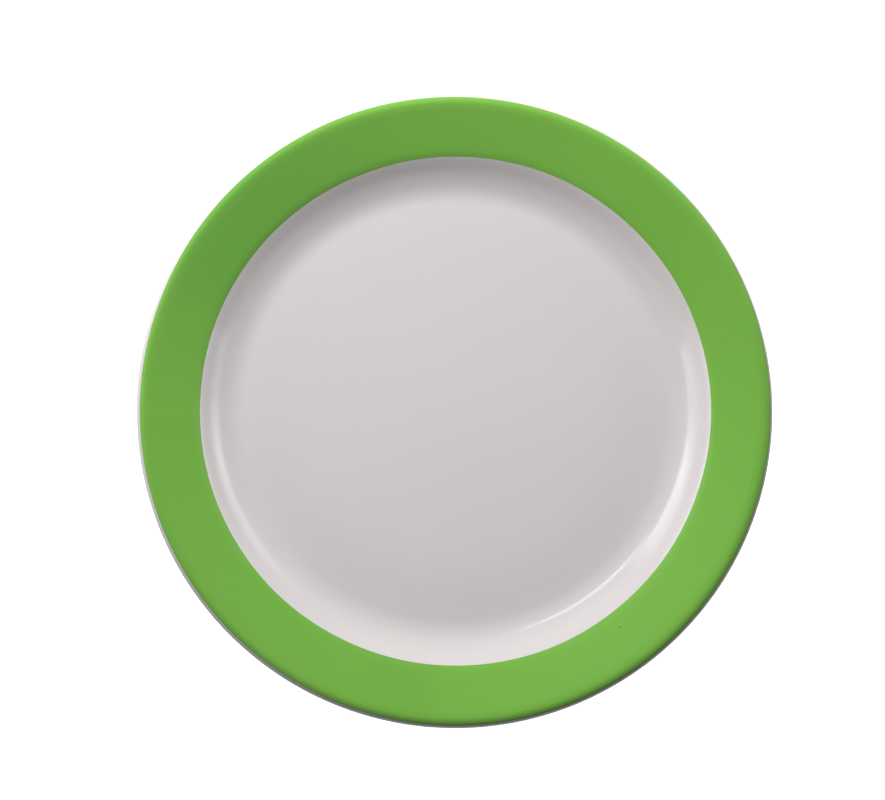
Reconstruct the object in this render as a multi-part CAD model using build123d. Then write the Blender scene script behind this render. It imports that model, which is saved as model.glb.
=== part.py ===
from build123d import *

import os
from math import cos, radians, sin, tan

# China dinner plate. One porcelain body is pressed and fired with its foot ring, and then carries
# four separate coats of glaze: clear in the well, green on the rim, clear round the lip and down
# the back, and clear inside the foot ring. The foot ring's bearing face is wiped bare.
#
# The origin is the centre of the circle that the foot ring stands on, and +Z points up out of the
# well. Everything is turned about Z. Lengths are millimetres and angles are degrees. A slope is
# how steeply a surface climbs on its way out from the axis, so a falling one is negative.

PLATE_DIAMETER = 270.0
GLAZE_THICKNESS = 0.25
CLAY_RADIUS = PLATE_DIAMETER / 2 - GLAZE_THICKNESS

# Well: a floor that is flat in the middle, falls a very little towards its edge, and then sweeps
# up through a cove in two bends to the wall.
FLOOR_HEIGHT = 7.35
FLOOR_THICKNESS = 4.85
FLOOR_EASE_CORNER = 72.0
FLOOR_EASE_RADIUS = 600.0
FLOOR_FALL = -1.8
COVE_FOOT_CORNER = 94.3
COVE_FOOT_RADIUS = 20.0
COVE_SLOPE = 22.5
COVE_CORNER = 102.25
COVE_RADIUS = 38.0
WALL_SLOPE = 34.5
WALL_THICKNESS = 4.6

# Rim: a cone with a soft inner round, that eases a little before it rolls over into the lip.
RIM_CORNER = 109.8
RIM_INNER_ROUND = 16.75
RIM_SLOPE = 17.5
SHOULDER_CORNER = 129.25
SHOULDER_RADIUS = 15.0
SHOULDER_SLOPE = 11.0
LIP_TOP_RADIUS = 3.45
LIP_LAND = 0.3
LIP_UNDER_RADIUS = 2.0

# Back: the rim's underside, the hip under the wall, a shallow flare and the foot ring.
RIM_UNDER_SLOPE = 11.0
UNDER_RIM_RADIUS = 5.0
FLARE_SLOPE = 3.0
HIP_RADIUS = 14.0
FOOT_OUTER_RADIUS = 81.0
FOOT_INNER_RADIUS = 77.2
FOOT_FLANK_SLOPE = 52.0
FOOT_FLANK_ROUND = 1.6
FOOT_EDGE_ROUND = 0.6
FOOT_BARE_HEIGHT = 0.9

# The green band's edges, as radii of its outer surface: on the inner round, and on the lip.
BAND_INNER_RADIUS = 108.95
BAND_OUTER_RADIUS = 133.75

HALF_CLAY = 2.4
REACH = 20.0


def rise(run, slope):
    """Height gained over a run across the plate."""
    return run * tan(radians(slope))


def normal(slope):
    """Unit normal that points up out of a surface with this slope, as (across, up)."""
    return Vector(-sin(radians(slope)), cos(radians(slope)))


def inside(corner, slope_in, slope_out, depth):
    """Point under a corner of the top outline that is this deep below both of its surfaces."""
    half_turn = radians(slope_in - slope_out) / 2
    return Vector(corner) - normal((slope_in + slope_out) / 2) * (depth / cos(half_turn))


def meeting(point_a, slope_a, point_b, slope_b):
    """Where a line through point_a meets a line through point_b."""
    grade_a, grade_b = tan(radians(slope_a)), tan(radians(slope_b))
    across = (point_b[1] - point_a[1] + grade_a * point_a[0] - grade_b * point_b[0]) / (grade_a - grade_b)
    return (across, point_a[1] + grade_a * (across - point_a[0]))


def turned(section):
    """Solid of revolution of a flat section about the plate's axis."""
    return revolve(section, Axis.Z)


# Corners of the clay's top outline, from the axis out to the lip.
floor_ease = (FLOOR_EASE_CORNER, FLOOR_HEIGHT)
cove_foot = (COVE_FOOT_CORNER, FLOOR_HEIGHT + rise(COVE_FOOT_CORNER - FLOOR_EASE_CORNER, FLOOR_FALL))
cove_corner = (COVE_CORNER, cove_foot[1] + rise(COVE_CORNER - COVE_FOOT_CORNER, COVE_SLOPE))
rim_corner = (RIM_CORNER, cove_corner[1] + rise(RIM_CORNER - COVE_CORNER, WALL_SLOPE))
shoulder = (SHOULDER_CORNER, rim_corner[1] + rise(SHOULDER_CORNER - RIM_CORNER, RIM_SLOPE))
lip_corner = (CLAY_RADIUS, shoulder[1] + rise(CLAY_RADIUS - SHOULDER_CORNER, SHOULDER_SLOPE))


def clay_outline():
    """Closed outline of the fired body: out along the top, round the lip and back underneath."""
    lip_top_length = LIP_TOP_RADIUS * tan(radians(SHOULDER_SLOPE + 90) / 2)
    lip_under_length = LIP_UNDER_RADIUS * tan(radians(90 - RIM_UNDER_SLOPE) / 2)
    lip_bottom = (CLAY_RADIUS, lip_corner[1] - lip_top_length - LIP_LAND - lip_under_length)

    wall_back = tuple(Vector(cove_corner) - normal(WALL_SLOPE) * WALL_THICKNESS)
    under_rim = meeting(lip_bottom, RIM_UNDER_SLOPE, wall_back, WALL_SLOPE)
    recess_height = FLOOR_HEIGHT - FLOOR_THICKNESS
    flank_run = recess_height / tan(radians(FOOT_FLANK_SLOPE))
    foot_outer_top = (FOOT_OUTER_RADIUS + flank_run, recess_height)
    hip = meeting(foot_outer_top, FLARE_SLOPE, wall_back, WALL_SLOPE)

    corners = [
        ((0, FLOOR_HEIGHT), 0),
        (floor_ease, FLOOR_EASE_RADIUS),
        (cove_foot, COVE_FOOT_RADIUS),
        (cove_corner, COVE_RADIUS),
        (rim_corner, RIM_INNER_ROUND),
        (shoulder, SHOULDER_RADIUS),
        (lip_corner, LIP_TOP_RADIUS),
        (lip_bottom, LIP_UNDER_RADIUS),
        (under_rim, UNDER_RIM_RADIUS),
        (hip, HIP_RADIUS),
        (foot_outer_top, FOOT_FLANK_ROUND),
        ((FOOT_OUTER_RADIUS, 0), FOOT_EDGE_ROUND),
        ((FOOT_INNER_RADIUS, 0), FOOT_EDGE_ROUND),
        ((FOOT_INNER_RADIUS - flank_run, recess_height), FOOT_FLANK_ROUND),
        ((0, recess_height), 0),
    ]
    points = [point for point, _ in corners]
    rounds = [radius for _, radius in corners]
    return FilletPolyline(*points, radius=rounds, close=True)


def flat_section(outline):
    """Flat face in the plate's radial plane, from an outline drawn as (across, up)."""
    return Plane.XZ * make_face(outline)


def region(*points):
    """Flat polygon in the radial plane, used to cut the coat of glaze into its separate areas."""
    return flat_section(Polyline(*points, close=True))


def band_edge(corner, slope_in, slope_out, round_radius, edge_radius):
    """Square cut through a coat where the green band ends on a rounded corner of the top outline.

    Gives the cut's two ends: one in the middle of the clay, and one well clear of the coat.
    """
    centre = inside(corner, slope_in, slope_out, round_radius)
    lean = (centre.X - edge_radius) / (round_radius + GLAZE_THICKNESS)
    direction = Vector(-lean, (1 - lean**2) ** 0.5)
    start = centre + direction * (round_radius - HALF_CLAY)
    return start, start + direction * REACH


def porcelain_body():
    """The fired clay: well, wall, rim, lip and foot ring in one piece."""
    return turned(flat_section(clay_outline()))


def glaze_coats():
    """The four coats of glaze, each a thin turned skin that lies on the clay."""
    clay = flat_section(clay_outline())
    coat = offset(clay, GLAZE_THICKNESS, kind=Kind.ARC) - clay

    in_start, in_end = band_edge(rim_corner, WALL_SLOPE, RIM_SLOPE, RIM_INNER_ROUND, BAND_INNER_RADIUS)
    out_start, out_end = band_edge(lip_corner, SHOULDER_SLOPE, -90, LIP_TOP_RADIUS, BAND_OUTER_RADIUS)
    mid_floor = (0, FLOOR_HEIGHT - HALF_CLAY)
    mid_cove_foot = inside(cove_foot, FLOOR_FALL, COVE_SLOPE, HALF_CLAY)
    mid_cove = inside(cove_corner, COVE_SLOPE, WALL_SLOPE, HALF_CLAY)
    foot_middle = (FOOT_OUTER_RADIUS + FOOT_INNER_RADIUS) / 2
    above = out_end.Y
    beyond = CLAY_RADIUS + REACH

    regions = {
        "well_glaze": region(mid_floor, mid_cove_foot, mid_cove, in_start, in_end, (0, above)),
        "rim_band": region(in_start, out_start, out_end, in_end),
        "back_glaze": region(
            out_start,
            out_end,
            (beyond, above),
            (beyond, FOOT_BARE_HEIGHT),
            (foot_middle, FOOT_BARE_HEIGHT),
            (foot_middle, mid_floor[1]),
            mid_cove_foot,
            mid_cove,
            in_start,
        ),
        "foot_recess_glaze": region(
            (0, FOOT_BARE_HEIGHT),
            (foot_middle, FOOT_BARE_HEIGHT),
            (foot_middle, mid_floor[1]),
            mid_floor,
        ),
    }
    return {name: turned(coat & area) for name, area in regions.items()}


parts = {"porcelain_body": porcelain_body(), **glaze_coats()}

os.makedirs("parts", exist_ok=True)
for name, shape in parts.items():
    export_step(shape, f"parts/{name}.step")
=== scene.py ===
import math

import bpy
from mathutils import Matrix, Vector


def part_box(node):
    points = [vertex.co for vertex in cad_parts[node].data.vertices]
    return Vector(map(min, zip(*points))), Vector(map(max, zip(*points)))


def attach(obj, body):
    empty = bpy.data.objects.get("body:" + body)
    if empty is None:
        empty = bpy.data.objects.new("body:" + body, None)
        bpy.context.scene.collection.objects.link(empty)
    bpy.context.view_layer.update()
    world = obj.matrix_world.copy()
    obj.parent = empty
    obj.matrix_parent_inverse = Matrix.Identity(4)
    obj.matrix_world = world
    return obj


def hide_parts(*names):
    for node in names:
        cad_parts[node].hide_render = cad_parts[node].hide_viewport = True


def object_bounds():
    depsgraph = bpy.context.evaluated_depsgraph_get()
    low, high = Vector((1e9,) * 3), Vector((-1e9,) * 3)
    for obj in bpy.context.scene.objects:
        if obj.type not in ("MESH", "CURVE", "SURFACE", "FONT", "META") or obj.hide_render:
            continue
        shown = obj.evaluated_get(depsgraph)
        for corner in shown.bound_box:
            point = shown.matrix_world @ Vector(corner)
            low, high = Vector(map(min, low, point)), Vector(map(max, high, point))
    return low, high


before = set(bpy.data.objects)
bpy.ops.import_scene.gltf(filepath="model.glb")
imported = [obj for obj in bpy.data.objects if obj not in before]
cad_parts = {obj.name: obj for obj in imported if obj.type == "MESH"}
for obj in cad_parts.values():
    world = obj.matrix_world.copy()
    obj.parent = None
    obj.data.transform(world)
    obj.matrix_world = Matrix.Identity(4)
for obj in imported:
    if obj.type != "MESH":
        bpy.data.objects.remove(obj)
cad_low, cad_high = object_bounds()

# ---------------------------------------------------------------------------------------------
# Fired body. Hard white porcelain, pressed to a turned outline and fired with its foot ring.
# All of it is under glaze but the foot ring's bearing face, which is wiped so that the plate
# doesn't stick to the kiln shelf. Shapes are drawn as half sections and spun about the axis.

MM = 0.001
AROUND = 360  # steps in a full turn
ARC_STEP = math.radians(4)
LINE_STEP = 5 * MM
SHORTEST_ARC = 6  # steps, so that a gentle bend still shades smoothly

recess_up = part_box("foot_recess_glaze")[1].z
lip_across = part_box("porcelain_body")[1].x
foot_bare_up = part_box("back_glaze")[0].z
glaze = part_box("back_glaze")[1].x - lip_across

FLOOR_FALL, COVE_SLOPE, WALL_SLOPE, RIM_SLOPE, SHOULDER_SLOPE = -1.8, 22.5, 34.5, 17.5, 11
UNDER_SLOPE, FLARE_SLOPE, FLANK_SLOPE = 11, 3, 52
WALL_THICKNESS = 4.6 * MM
RIM_INNER_ROUND = 16.75 * MM
LIP_ROUND, LIP_LAND, LIP_UNDER_ROUND = 3.45 * MM, 0.3 * MM, 2 * MM
FOOT_OUTER, FOOT_INNER = 81 * MM, 77.2 * MM
FLANK_ROUND, FOOT_EDGE_ROUND = 1.6 * MM, 0.6 * MM


def along(slope, length=1.0):
    """A step of this length outwards along a slope in degrees, as (across, up)."""
    return Vector((math.cos(math.radians(slope)), math.sin(math.radians(slope)))) * length


def climb(point, across, slope):
    """Where a slope from a point reaches this distance across."""
    return Vector((across, point[1] + (across - point[0]) * math.tan(math.radians(slope))))


def crossing(point_a, slope_a, point_b, slope_b):
    """Where a slope through one point meets a slope through another."""
    grade_a, grade_b = (math.tan(math.radians(s)) for s in (slope_a, slope_b))
    across = (point_b[1] - point_a[1] + grade_a * point_a[0] - grade_b * point_b[0]) / (grade_a - grade_b)
    return climb(point_a, across, slope_a)


floor_middle = Vector((0, 7.35 * MM))
floor_ease = Vector((72 * MM, floor_middle.y))
cove_foot = climb(floor_ease, 94.3 * MM, FLOOR_FALL)
cove = climb(cove_foot, 102.25 * MM, COVE_SLOPE)
rim = climb(cove, 109.8 * MM, WALL_SLOPE)
shoulder = climb(rim, 129.25 * MM, RIM_SLOPE)
lip = climb(shoulder, lip_across, SHOULDER_SLOPE)
lip_drop = LIP_ROUND * math.tan(math.radians(90 + SHOULDER_SLOPE) / 2) + LIP_LAND
lip_drop += LIP_UNDER_ROUND * math.tan(math.radians(90 - UNDER_SLOPE) / 2)
lip_foot = lip - Vector((0, lip_drop))
wall_back = cove + along(WALL_SLOPE - 90, WALL_THICKNESS)
under_rim = crossing(lip_foot, UNDER_SLOPE, wall_back, WALL_SLOPE)
flank_run = recess_up / math.tan(math.radians(FLANK_SLOPE))
foot_top = Vector((FOOT_OUTER + flank_run, recess_up))
hip = crossing(foot_top, FLARE_SLOPE, wall_back, WALL_SLOPE)

# Corners of the clay's outline with the radius that rounds each, from the axis round to the axis.
floor_outline = [(floor_middle, 0), (floor_ease, 600 * MM)]
wall_outline = [(cove_foot, 20 * MM), (cove, 38 * MM), (rim, RIM_INNER_ROUND)]
lip_outline = [(shoulder, 15 * MM), (lip, LIP_ROUND), (lip_foot, LIP_UNDER_ROUND)]
back_outline = [(under_rim, 5 * MM), (hip, 14 * MM), (foot_top, FLANK_ROUND)]
foot_outline = [(Vector((across, 0)), FOOT_EDGE_ROUND) for across in (FOOT_OUTER, FOOT_INNER)]
recess_edge = Vector((FOOT_INNER - flank_run, recess_up))
recess_outline = [(recess_edge, FLANK_ROUND), (Vector((0, recess_up)), 0)]


def draw_outline(name, outline):
    """Draws a rounded outline as a wire in the radial plane and leaves it in edit mode."""
    bpy.ops.object.select_all(action="DESELECT")
    start = outline[0][0]
    bpy.ops.mesh.primitive_plane_add(size=MM, location=(start.x, 0, start.y))
    piece = bpy.context.object
    piece.name = piece.data.name = name
    bpy.ops.object.transform_apply(location=True)
    bpy.ops.object.mode_set(mode="EDIT")
    bpy.ops.mesh.select_mode(type="VERT")
    bpy.ops.mesh.select_all(action="SELECT")
    bpy.ops.mesh.merge(type="CENTER")
    bpy.ops.mesh.select_all(action="SELECT")
    here = start.copy()
    for i, (corner, radius) in enumerate(outline[1:], start=1):
        before = (corner - outline[i - 1][0]).normalized()
        after, turn = before, 0.0
        if i + 1 < len(outline):
            after = (outline[i + 1][0] - corner).normalized()
            turn = before.angle(after)
        stop = corner - before * (radius * math.tan(turn / 2))
        run = stop - here
        pulls = max(1, math.ceil(run.length / LINE_STEP))
        for _ in range(pulls):
            step = {"value": (run.x / pulls, 0, run.y / pulls)}
            bpy.ops.mesh.extrude_vertices_move(TRANSFORM_OT_translate=step)
        here = stop
        if radius and turn:
            bend = math.copysign(1, before.x * after.y - before.y * after.x)
            centre = stop + Vector((-before.y, before.x)) * radius * bend
            steps = max(SHORTEST_ARC, math.ceil(turn / ARC_STEP))
            middle = (centre.x, 0, centre.y)
            bpy.ops.mesh.spin(steps=steps, angle=turn, center=middle, axis=(0, bend, 0))
            here = corner + after * (radius * math.tan(turn / 2))
    return piece


def turn_on_wheel():
    """Spins the wire in edit mode about the plate's axis and closes the seam."""
    bpy.ops.mesh.select_all(action="SELECT")
    bpy.ops.mesh.spin(steps=AROUND, angle=math.tau, center=(0, 0, 0), axis=(0, 0, 1))
    bpy.ops.mesh.select_all(action="SELECT")
    bpy.ops.mesh.remove_doubles(threshold=1e-6)
    bpy.ops.mesh.normals_make_consistent(inside=False)
    bpy.ops.object.mode_set(mode="OBJECT")


def facing_out(piece, upwards):
    """Turns the whole surface over if its flattest faces look the wrong way."""
    flattest = max(piece.data.polygons, key=lambda face: abs(face.normal.z) * face.area)
    if (flattest.normal.z > 0) != upwards:
        bpy.ops.object.mode_set(mode="EDIT")
        bpy.ops.mesh.select_all(action="SELECT")
        bpy.ops.mesh.flip_normals()
        bpy.ops.object.mode_set(mode="OBJECT")


def smooth(piece):
    """Smooth shading that keeps the sharp edges of a coat."""
    bpy.ops.object.select_all(action="DESELECT")
    piece.select_set(True)
    bpy.context.view_layer.objects.active = piece
    bpy.ops.object.shade_smooth_by_angle(angle=math.radians(40))


def colour(hex_code):
    """An sRGB hex colour as linear red, green, blue and alpha."""
    parts = [int(hex_code[i : i + 2], 16) / 255 for i in (0, 2, 4)]
    return [p / 12.92 if p <= 0.04045 else ((p + 0.055) / 1.055) ** 2.4 for p in parts] + [1]


def add_node(material, kind, inputs=None, **settings):
    """Adds a node with its settings, and links or sets its inputs."""
    node = material.node_tree.nodes.new(kind)
    for name, value in settings.items():
        setattr(node, name, value)
    for name, value in (inputs or {}).items():
        if isinstance(value, bpy.types.NodeSocket):
            material.node_tree.links.new(value, node.inputs[name])
        else:
            node.inputs[name].default_value = value
    return node


def new_material(name):
    """An empty material with its place on the object, and its surface and output nodes."""
    material = bpy.data.materials.new(name)
    material.use_nodes = True
    material.node_tree.nodes.clear()
    place = add_node(material, "ShaderNodeTexCoord").outputs["Object"]
    surface = add_node(material, "ShaderNodeBsdfPrincipled")
    add_node(material, "ShaderNodeOutputMaterial", {"Surface": surface.outputs["BSDF"]})
    return material, place, surface


def join(material, node, name, value):
    """Links a value to one input of a node."""
    material.node_tree.links.new(value, node.inputs[name])


body_outline = floor_outline + wall_outline + lip_outline + back_outline + foot_outline + recess_outline
porcelain_body = draw_outline("fired_body", body_outline)
turn_on_wheel()
facing_out(porcelain_body, upwards=True)
smooth(porcelain_body)

# Fired porcelain, unglazed: a dry, sugary white skin with fine grit, greyed where it has stood.
bisque, place, surface = new_material("bisque_porcelain_fired_bare")
GRIT = 0.35 * MM
SCUFF = 9 * MM
grit = {"Vector": place, "Scale": 1 / GRIT, "Detail": 3}
grit = add_node(bisque, "ShaderNodeTexNoise", grit).outputs["Fac"]
scuff = {"Vector": place, "Scale": 1 / SCUFF, "Detail": 4}
scuff = add_node(bisque, "ShaderNodeTexNoise", scuff).outputs["Fac"]
scuffed = {"Value": scuff, "From Min": 0.45, "From Max": 0.75}
scuffed = add_node(bisque, "ShaderNodeMapRange", scuffed).outputs["Result"]
dry = {0: grit, 6: colour("E8E2D6"), 7: colour("D2CABC")}
dry = add_node(bisque, "ShaderNodeMix", dry, data_type="RGBA").outputs[2]
dry = {0: scuffed, 6: dry, 7: colour("B9B2A6")}
dry = add_node(bisque, "ShaderNodeMix", dry, data_type="RGBA").outputs[2]
join(bisque, surface, "Base Color", dry)
surface.inputs["Roughness"].default_value = 0.78
bump = {"Height": grit, "Strength": 0.5, "Distance": 0.05 * MM}
join(bisque, surface, "Normal", add_node(bisque, "ShaderNodeBump", bump).outputs["Normal"])
porcelain_body.data.materials.append(bisque)

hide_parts("porcelain_body")
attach(porcelain_body, "root")

# ---------------------------------------------------------------------------------------------
# Clear glaze in the well. A glassy coat fused on the floor and wall, poured in and spun out, so
# it lies level. It runs on a short way under the green band.

band_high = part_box("rim_band")[1]
BAND_INNER, BAND_OUTER = 108.95 * MM, band_high.x
UNDERLAP = 1.5 * MM


def on_round(corner, before, after, radius, across):
    """The point of a lifted rounded corner at this distance across, and the slope there."""
    half_turn = math.radians(before - after) / 2
    middle = along((before + after) / 2 + 90)
    centre = corner - middle * (radius / math.cos(half_turn))
    lean = math.asin((centre.x - across) / (radius + glaze))
    slope = math.degrees(lean)
    return centre + along(slope + 90, radius + glaze), slope


def lifted(outline, lift):
    """The outline of a coat this thick on a run of corners. The free side is on the left."""
    directions = [(b[0] - a[0]).normalized() for a, b in zip(outline, outline[1:])]
    directions = [directions[0], *directions, directions[-1]]
    coat = []
    for (corner, radius), before, after in zip(outline, directions, directions[1:]):
        middle = (Vector((-before.y, before.x)) + Vector((-after.y, after.x))).normalized()
        bend = before.x * after.y - before.y * after.x
        half_turn = before.angle(after) / 2
        grown = max(radius - math.copysign(lift, bend), 0) if radius else 0
        coat.append((corner + middle * (lift / math.cos(half_turn)), grown))
    return coat


def trim(across_up, slope, keep_outer, beyond=0.0):
    """Cuts the wire in edit mode square across a slope at a point, and drops one side of it."""
    wire = bpy.context.object
    bpy.ops.object.mode_set(mode="OBJECT")
    for vertex in wire.data.vertices:
        vertex.select = vertex.co.x > beyond
    bpy.ops.object.mode_set(mode="EDIT")
    direction = along(slope)
    bpy.ops.mesh.bisect(
        plane_co=(across_up[0], 0, across_up[1]),
        plane_no=(direction.x, 0, direction.y),
        clear_inner=keep_outer,
        clear_outer=not keep_outer,
        threshold=1e-7,
    )


band_start, start_slope = on_round(rim, WALL_SLOPE, RIM_SLOPE, RIM_INNER_ROUND, BAND_INNER)
band_stop, stop_slope = on_round(lip, SHOULDER_SLOPE, -90, LIP_ROUND, BAND_OUTER)


def fuse(piece, thickness):
    """Gives a turned skin its thickness, inwards from its outer face."""
    bpy.context.view_layer.objects.active = piece
    coat = piece.modifiers.new("coat", "SOLIDIFY")
    coat.thickness = thickness
    coat.offset = -1
    bpy.ops.object.modifier_apply(modifier="coat")


well_run = floor_outline + wall_outline + lip_outline[:1]
well_glaze = draw_outline("well_clear_glaze", lifted(well_run, glaze))
trim(band_start + along(start_slope, UNDERLAP), start_slope, keep_outer=False)
turn_on_wheel()
facing_out(well_glaze, upwards=True)
fuse(well_glaze, glaze)
smooth(well_glaze)

# Clear glaze on white porcelain: glassy, even and faintly warm, with a soft mottle in the glaze.
# Round the foot of the cove the white is greyed a little with painted shade.
clear_glaze, place, surface = new_material("clear_glaze_on_white_porcelain")
MOTTLE = 3.5 * MM
CLOUD = 45 * MM
RIPPLE = 14 * MM
COVE_SHADE_END = 120 * MM
COVE_SHADE_TINT = (0.96, 0.962, 0.966, 1)
# How strongly painted shade greys the white at each distance across in mm, round the foot of the cove.
cove_shade_depths = ((50, 0.1), (64, 0.35), (80, 1.0), (92, 1.3), (96, 1.1), (102, 0.1), (107, 0.0))

mottle = {"Vector": place, "Scale": 1 / MOTTLE, "Detail": 2}
mottle = add_node(clear_glaze, "ShaderNodeTexNoise", mottle).outputs["Fac"]
cloud = {"Vector": place, "Scale": 1 / CLOUD, "Detail": 1}
cloud = add_node(clear_glaze, "ShaderNodeTexNoise", cloud).outputs["Fac"]
ripple = {"Vector": place, "Scale": 1 / RIPPLE, "Detail": 1}
ripple = add_node(clear_glaze, "ShaderNodeTexNoise", ripple).outputs["Fac"]
tone = {0: mottle, 6: colour("F1E9E9"), 7: colour("EFE9E9")}
tone = add_node(clear_glaze, "ShaderNodeMix", tone, data_type="RGBA").outputs[2]
tone = {0: cloud, 6: tone, 7: colour("EDE6E7")}
tone = add_node(clear_glaze, "ShaderNodeMix", tone, data_type="RGBA").outputs[2]

flat = add_node(clear_glaze, "ShaderNodeVectorMath", {0: place, 1: (1, 1, 0)}, operation="MULTIPLY")
across = add_node(clear_glaze, "ShaderNodeVectorMath", {0: flat.outputs["Vector"]}, operation="LENGTH")
across = {0: across.outputs["Value"], 1: 1 / COVE_SHADE_END}
across = add_node(clear_glaze, "ShaderNodeMath", across, operation="MULTIPLY").outputs[0]
cove_shade = add_node(clear_glaze, "ShaderNodeFloatCurve", {"Value": across})
curve = cove_shade.mapping.curves[0]
curve.points[0].location, curve.points[-1].location = (0, 0), (1, 0)
for distance, shade_strength in cove_shade_depths:
    curve.points.new(distance * MM / COVE_SHADE_END, shade_strength)
cove_shade.mapping.update()
# Painted shade: the white is greyed a little round the foot of the cove.
tone = {0: cove_shade.outputs[0], 6: tone, 7: COVE_SHADE_TINT}
tone = add_node(clear_glaze, "ShaderNodeMix", tone, data_type="RGBA", blend_type="MULTIPLY").outputs[2]
join(clear_glaze, surface, "Base Color", tone)
surface.inputs["Roughness"].default_value = 0.07
surface.inputs["IOR"].default_value = 1.52
bump = {"Height": ripple, "Strength": 0.2, "Distance": 0.05 * MM}
join(clear_glaze, surface, "Normal", add_node(clear_glaze, "ShaderNodeBump", bump).outputs["Normal"])
well_glaze.data.materials.append(clear_glaze)

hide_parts("well_glaze")
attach(well_glaze, "root")

# ---------------------------------------------------------------------------------------------
# Clear glaze on the back. It runs from under the green band's outer edge, round the lip, down the
# back and over the foot ring's outer flank, where it is wiped off above the bearing face.

back_run = lip_outline + back_outline + foot_outline[:1]
back_glaze = draw_outline("back_clear_glaze", lifted(back_run, glaze))
back_start = band_stop - along(stop_slope, UNDERLAP)
trim(back_start, stop_slope, keep_outer=True, beyond=band_stop.x - 6 * MM)
trim((0, foot_bare_up), 90, keep_outer=True)
turn_on_wheel()
facing_out(back_glaze, upwards=False)
fuse(back_glaze, glaze)
smooth(back_glaze)
back_glaze.data.materials.append(clear_glaze)

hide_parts("back_glaze")
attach(back_glaze, "root")

# ---------------------------------------------------------------------------------------------
# Clear glaze inside the foot ring. The hollow under the floor is glazed like the rest of the
# back, and parted from it by the bare bearing face.

recess_run = foot_outline[1:] + recess_outline
recess_glaze = draw_outline("recess_clear_glaze", lifted(recess_run, glaze))
trim((0, foot_bare_up), 90, keep_outer=True)
turn_on_wheel()
facing_out(recess_glaze, upwards=False)
fuse(recess_glaze, glaze)
smooth(recess_glaze)
recess_glaze.data.materials.append(clear_glaze)

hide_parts("foot_recess_glaze")
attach(recess_glaze, "root")

# ---------------------------------------------------------------------------------------------
# Green band. A lime-green colour glaze brushed on the rim as it turns, over the clear glaze's
# edges and a shade proud of them. It was laid a little off centre and its edges wander slightly.

BAND_PROUD = 0.04 * MM
OFF_CENTRE = 0.3 * MM
OFF_CENTRE_TOWARDS = math.radians(5)
WANDER = 0.06 * MM
WANDER_REACH = 3 * MM

band_run = wall_outline[1:] + lip_outline
rim_band = draw_outline("green_glaze_band", lifted(band_run, glaze + BAND_PROUD))
trim(band_start, start_slope, keep_outer=True)
trim(band_stop, stop_slope, keep_outer=False)
turn_on_wheel()
facing_out(rim_band, upwards=True)
normals = [vertex.normal.copy() for vertex in rim_band.data.vertices]
for vertex, normal in zip(rim_band.data.vertices, normals):
    across = math.hypot(vertex.co.x, vertex.co.y)
    angle = math.atan2(vertex.co.y, vertex.co.x)
    shift = OFF_CENTRE * math.cos(angle - OFF_CENTRE_TOWARDS)
    inner = max(0.0, 1 - (across - BAND_INNER) / WANDER_REACH)
    outer = max(0.0, 1 - (BAND_OUTER - across) / WANDER_REACH)
    inner_wander = WANDER * (math.sin(5 * angle + 1) + 0.6 * math.sin(11 * angle + 2))
    outer_wander = WANDER * (math.sin(4 * angle) + 0.6 * math.sin(9 * angle + 4))
    slide = inner * (shift + inner_wander) + outer * (shift + outer_wander)
    radial = Vector((math.cos(angle), math.sin(angle), 0))
    along_skin = radial * normal.z - Vector((0, 0, normal.dot(radial)))
    vertex.co += along_skin * (slide / max(normal.z, 0.4))
fuse(rim_band, glaze + BAND_PROUD)
smooth(rim_band)

# Green colour glaze: an opaque stained glaze with a satin gloss. It shows where the brush laid it
# thick or thin, where strokes overlap in a darker lap, and two iron specks.
green_glaze, place, surface = new_material("green_colour_glaze_satin")
BRUSH = 6 * MM
FINE = 1.2 * MM
# Each lap: where it starts, is full, fades and ends, in degrees round the rim, and its tint.
laps = (
    (106, 142, 148, 164, (0.87, 0.93, 0.96, 1)),
    (144, 158, 162, 186, (0.96, 0.96, 0.97, 1)),
    (-180, -176, -99, -90, (0.975, 0.98, 0.985, 1)),
    (-112, -104, -96, -92, (0.975, 0.975, 0.975, 1)),
    (40, 62, 98, 112, (1.06, 1.055, 1.06, 1)),
)
# Each speck: degrees round the rim, distance across and radius in mm.
specks = ((-53, 116, 0.3), (12, 109.4, 0.25))

scaled = add_node(green_glaze, "ShaderNodeVectorMath", {0: place, "Scale": 1 / BRUSH}, operation="SCALE")
patch = {"Vector": scaled.outputs[0], "Scale": 1, "Detail": 3}
patch = add_node(green_glaze, "ShaderNodeTexNoise", patch).outputs["Fac"]
fine = {"Vector": place, "Scale": 1 / FINE, "Detail": 2}
fine = add_node(green_glaze, "ShaderNodeTexNoise", fine).outputs["Fac"]
laid = {0: patch, 6: colour("7DC04A"), 7: colour("81BF4E")}
laid = add_node(green_glaze, "ShaderNodeMix", laid, data_type="RGBA").outputs[2]

apart = add_node(green_glaze, "ShaderNodeSeparateXYZ", {"Vector": place}).outputs
turned_to = {0: apart["Y"], 1: apart["X"]}
turned_to = add_node(green_glaze, "ShaderNodeMath", turned_to, operation="ARCTAN2").outputs[0]
for start, full, fading, end, tint in laps:
    ends = []
    for empty, solid in ((start, full), (end, fading)):
        ramp = {"Value": turned_to, "From Min": math.radians(empty), "From Max": math.radians(solid)}
        ramp = add_node(green_glaze, "ShaderNodeMapRange", ramp, interpolation_type="SMOOTHSTEP")
        ends.append(ramp.outputs["Result"])
    both = {0: ends[0], 1: ends[1]}
    both = add_node(green_glaze, "ShaderNodeMath", both, operation="MULTIPLY").outputs[0]
    laid = {0: both, 6: laid, 7: tint}
    laid = add_node(green_glaze, "ShaderNodeMix", laid, data_type="RGBA", blend_type="MULTIPLY").outputs[2]

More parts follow.
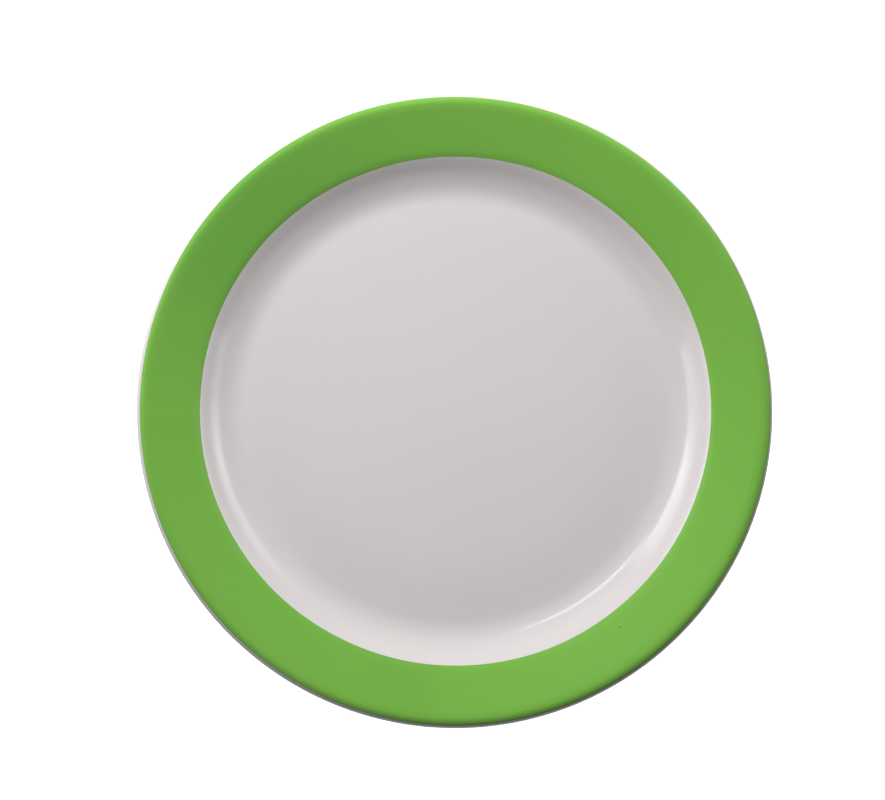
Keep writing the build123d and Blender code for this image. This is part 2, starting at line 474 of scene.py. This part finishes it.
for angle, across, size in specks:
    on_rim = climb(rim, across * MM, RIM_SLOPE).y + glaze
    turn = math.radians(angle)
    spot = (across * MM * math.cos(turn), across * MM * math.sin(turn), on_rim)
    off = add_node(green_glaze, "ShaderNodeVectorMath", {0: place, 1: spot}, operation="DISTANCE")
    dot = {"Value": off.outputs["Value"], "From Min": size * MM * 0.5, "From Max": size * MM * 1.6}
    dot.update({"To Min": 0.9, "To Max": 0})
    dot = add_node(green_glaze, "ShaderNodeMapRange", dot).outputs["Result"]
    laid = {0: dot, 6: laid, 7: colour("3F4A30")}
    laid = add_node(green_glaze, "ShaderNodeMix", laid, data_type="RGBA").outputs[2]
join(green_glaze, surface, "Base Color", laid)
surface.inputs["Roughness"].default_value = 0.38
surface.inputs["IOR"].default_value = 1.5
bump = {"Height": fine, "Strength": 0.15, "Distance": 0.02 * MM}
join(green_glaze, surface, "Normal", add_node(green_glaze, "ShaderNodeBump", bump).outputs["Normal"])
rim_band.data.materials.append(green_glaze)

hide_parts("rim_band")
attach(rim_band, "root")

# ---------------------------------------------------------------------------------------------
# Stage. A plain white table with its own overhead light, so that the plate casts only a soft
# contact shadow, and a pale studio round it with bright cloth panels that show in the glaze.

scene = bpy.context.scene
scene.view_settings.view_transform = "Standard"
TABLE_SIZE = 60
KEY_AZIMUTH = 108
# Ramps over the table, in metres: how white it looks by distance, and how brightly it glows onto the
# plate as painted bounce light by its place towards the key light, and by distance.
WHITE_BY_DISTANCE = {"From Min": 0.4, "From Max": 1.2, "To Min": 0.5, "To Max": 1.1}
BOUNCE_BY_SIDE = {"From Min": -0.3, "From Max": 0.3, "To Min": 0.55, "To Max": 1.5}
BOUNCE_BY_DISTANCE = {"From Min": 0.085, "From Max": 0.2, "To Min": 0.25, "To Max": 1.0}

bpy.ops.mesh.primitive_plane_add(size=TABLE_SIZE, location=(0, 0, 0))
table = bpy.context.object
table.name = "table"
white, place, surface = new_material("white_table")
surface.inputs["Base Color"].default_value = (0.8, 0.8, 0.8, 1)
surface.inputs["Roughness"].default_value = 0.9
surface.inputs["Specular IOR Level"].default_value = 0
surface.inputs["Emission Color"].default_value = (1, 1, 1, 1)
away = add_node(white, "ShaderNodeVectorMath", {0: place}, operation="LENGTH").outputs["Value"]
far = {"Value": away, **WHITE_BY_DISTANCE}
far = add_node(white, "ShaderNodeMapRange", far, interpolation_type="SMOOTHSTEP").outputs["Result"]
join(white, surface, "Emission Strength", far)

# Painted bounce light: for all rays but the camera's the table glows, most on the key light's side, with a
# painted shadow where it lies under the plate.
aim = math.radians(KEY_AZIMUTH)
sunny = {0: place, 1: (math.cos(aim), math.sin(aim), 0)}
sunny = add_node(white, "ShaderNodeVectorMath", sunny, operation="DOT_PRODUCT").outputs["Value"]
sunny = {"Value": sunny, **BOUNCE_BY_SIDE}
sunny = add_node(white, "ShaderNodeMapRange", sunny, interpolation_type="SMOOTHSTEP").outputs["Result"]
shaded = {"Value": away, **BOUNCE_BY_DISTANCE}
shaded = add_node(white, "ShaderNodeMapRange", shaded, interpolation_type="SMOOTHSTEP").outputs["Result"]
bounce = add_node(white, "ShaderNodeMath", {0: sunny, 1: shaded}, operation="MULTIPLY").outputs[0]
# The glow is emission, painted light in place of light bounced off the table.
bounce = add_node(white, "ShaderNodeEmission", {"Strength": bounce}).outputs["Emission"]
seen = add_node(white, "ShaderNodeLightPath").outputs["Is Camera Ray"]
split = add_node(white, "ShaderNodeMixShader", {0: seen, 1: bounce, 2: surface.outputs["BSDF"]})

# The table is clear from below, so that the underside shows.
from_below = add_node(white, "ShaderNodeNewGeometry").outputs["Backfacing"]
clear = add_node(white, "ShaderNodeBsdfTransparent").outputs["BSDF"]
split = add_node(white, "ShaderNodeMixShader", {0: from_below, 1: split.outputs["Shader"], 2: clear})
white_end = next(n for n in white.node_tree.nodes if n.type == "OUTPUT_MATERIAL")
join(white, white_end, "Surface", split.outputs["Shader"])
table.data.materials.append(white)

plate_middle = Vector((0, 0, cad_high.z * 0.6))


def softbox(name, azimuth, zenith, distance, width, height, watts):
    """A rectangular soft light that faces the plate from this far off, unseen by the camera."""
    a, z = math.radians(azimuth), math.radians(zenith)
    direction = Vector((math.cos(a) * math.sin(z), math.sin(a) * math.sin(z), math.cos(z)))
    bpy.ops.object.light_add(type="AREA", location=plate_middle + direction * distance)
    lamp = bpy.context.object
    lamp.name = name
    lamp.data.shape = "RECTANGLE"
    lamp.data.size = width
    lamp.data.size_y = height
    lamp.data.energy = watts
    lamp.rotation_euler = direction.to_track_quat("Z", "Y").to_euler()
    lamp.visible_camera = False
    lamp.visible_glossy = False
    return lamp


key_light = softbox("key_light", KEY_AZIMUTH, zenith=45, distance=1.389, width=0.7, height=0.5, watts=20.3)
table_light = softbox("table_light", 0, zenith=0, distance=2.0, width=2.0, height=2.0, watts=80)

# The table has its own light, and the key light misses it.
only_table = bpy.data.collections.new("lit_by_table_light")
only_table.objects.link(table)
table_light.light_linking.receiver_collection = only_table
not_table = bpy.data.collections.new("not_lit_by_key_light")
not_table.objects.link(table)
not_table.collection_objects[0].light_linking.link_state = "EXCLUDE"
key_light.light_linking.receiver_collection = not_table

# What the glaze mirrors: an even pale room, with soft cloth panels at the sides and a bright
# streak beside the key light. Each panel fades at its ends, and has creases along its length.
world = bpy.data.worlds.new("studio")
scene.world = world
world.use_nodes = True
world.node_tree.nodes.clear()
world.cycles.sampling_method = "NONE"
ROOM_LEVEL = 0.45
AMBIENT = 0.02
CREASES_ROUND, CREASES_DOWN = 1.5, 26.0  # to a radian
CREASE_DEPTH = 0.3
RAGGED = 0.16  # radians that a panel's ends wander

look = add_node(world, "ShaderNodeTexCoord").outputs["Generated"]
height = add_node(world, "ShaderNodeSeparateXYZ", {"Vector": look}).outputs["Z"]
zenith = add_node(world, "ShaderNodeMath", {0: height}, operation="ARCCOSINE").outputs[0]


def panel(azimuth, ends, heights, level):
    """Adds a panel to the room: ends are four angles round from its middle, where it begins, is
    full, starts to fade and is gone, and heights are the same for its angles from overhead."""
    a = math.radians(azimuth)
    ahead = {0: look, 1: (math.cos(a), math.sin(a), 0)}
    aside = {0: look, 1: (-math.sin(a), math.cos(a), 0)}
    ahead = add_node(world, "ShaderNodeVectorMath", ahead, operation="DOT_PRODUCT").outputs["Value"]
    aside = add_node(world, "ShaderNodeVectorMath", aside, operation="DOT_PRODUCT").outputs["Value"]
    round_from = {0: aside, 1: ahead}
    round_from = add_node(world, "ShaderNodeMath", round_from, operation="ARCTAN2").outputs[0]

    cloth = {}
    for axis, angle, scale in (("X", round_from, CREASES_ROUND), ("Y", zenith, CREASES_DOWN)):
        scaled = {0: angle, 1: scale}
        cloth[axis] = add_node(world, "ShaderNodeMath", scaled, operation="MULTIPLY").outputs[0]
    cloth = add_node(world, "ShaderNodeCombineXYZ", cloth).outputs[0]
    crease = {"Vector": cloth, "Scale": 1.0, "Detail": 2.0}
    crease = add_node(world, "ShaderNodeTexNoise", crease).outputs["Fac"]
    ragged = {0: crease, 1: RAGGED, 2: round_from}
    ragged = add_node(world, "ShaderNodeMath", ragged, operation="MULTIPLY_ADD").outputs[0]
    ragged = {0: ragged, 1: RAGGED / 2}
    ragged = add_node(world, "ShaderNodeMath", ragged, operation="SUBTRACT").outputs[0]

    creased = {"Value": crease, "From Min": 0.3, "From Max": 0.7}
    creased.update({"To Min": 1 - CREASE_DEPTH, "To Max": 1 + CREASE_DEPTH})
    factors = [add_node(world, "ShaderNodeMapRange", creased).outputs["Result"]]
    for value, (begins, full, fades, gone) in ((ragged, ends), (zenith, heights)):
        for start, end, low, high in ((begins, full, 0, 1), (fades, gone, 1, 0)):
            ramp = {"Value": value, "From Min": math.radians(start), "From Max": math.radians(end)}
            ramp.update({"To Min": low, "To Max": high})
            ramp = add_node(world, "ShaderNodeMapRange", ramp, interpolation_type="SMOOTHSTEP")
            factors.append(ramp.outputs["Result"])
    for factor in factors:
        level = add_node(world, "ShaderNodeMath", {0: level, 1: factor}, operation="MULTIPLY").outputs[0]
    return level


levels = [
    panel(150, (-20, -7, 6, 24), (43, 46, 50, 67), 3.6),
    panel(170, (-30, -8, 18.5, 21), (42.5, 45.5, 50, 61), 2.1),
    panel(180, (-16, -6, 13, 14.5), (50, 58, 74, 82), 1.0),
    panel(117, (-20, -5, 12, 28), (36, 39, 42, 46), 4.0),
    panel(24, (-24, -8, 10, 32), (46.5, 52.5, 55, 65), 2.3),
    panel(6, (-20, -17, 12, 26), (46.5, 52, 55, 66), 1.3),
]
mirrored = add_node(world, "ShaderNodeValue").outputs[0]
mirrored.default_value = ROOM_LEVEL
for level in levels:
    mirrored = add_node(world, "ShaderNodeMath", {0: mirrored, 1: level}, operation="ADD").outputs[0]
ray = add_node(world, "ShaderNodeLightPath")
lit = {"Factor": ray.outputs["Is Glossy Ray"], "A": AMBIENT, "B": mirrored}
lit = add_node(world, "ShaderNodeMix", lit).outputs[0]
lit = {"Factor": ray.outputs["Is Camera Ray"], "A": lit, "B": 1.0}
lit = add_node(world, "ShaderNodeMix", lit).outputs[0]
air = add_node(world, "ShaderNodeBackground", {"Strength": lit})
add_node(world, "ShaderNodeOutputWorld", {"Surface": air.outputs["Background"]})
air.inputs["Color"].default_value = (1, 1, 1, 1)

# The camera looks almost straight down, from eight plate radii away, leaning to one side.
camera_data = bpy.data.cameras.new("camera")
camera = bpy.data.objects.new("camera", camera_data)
scene.collection.objects.link(camera)
scene.camera = camera
VIEW_AZIMUTH, VIEW_TILT, VIEW_DISTANCE = 265, 5.3, 1.08
target = Vector((-5.3 * MM, 3.33 * MM, cad_high.z * 0.9))
a, t = math.radians(VIEW_AZIMUTH), math.radians(VIEW_TILT)
back = Vector((math.cos(a) * math.sin(t), math.sin(a) * math.sin(t), math.cos(t)))
right = Vector((0, 1, 0)).cross(back).normalized()
camera.matrix_world = Matrix.Translation(target + back * VIEW_DISTANCE) @ (
    Matrix((right, back.cross(right), back)).transposed().to_4x4()
)
camera_data.lens = 103.5
camera_data.sensor_width = 36
camera_data.clip_start = 0.05
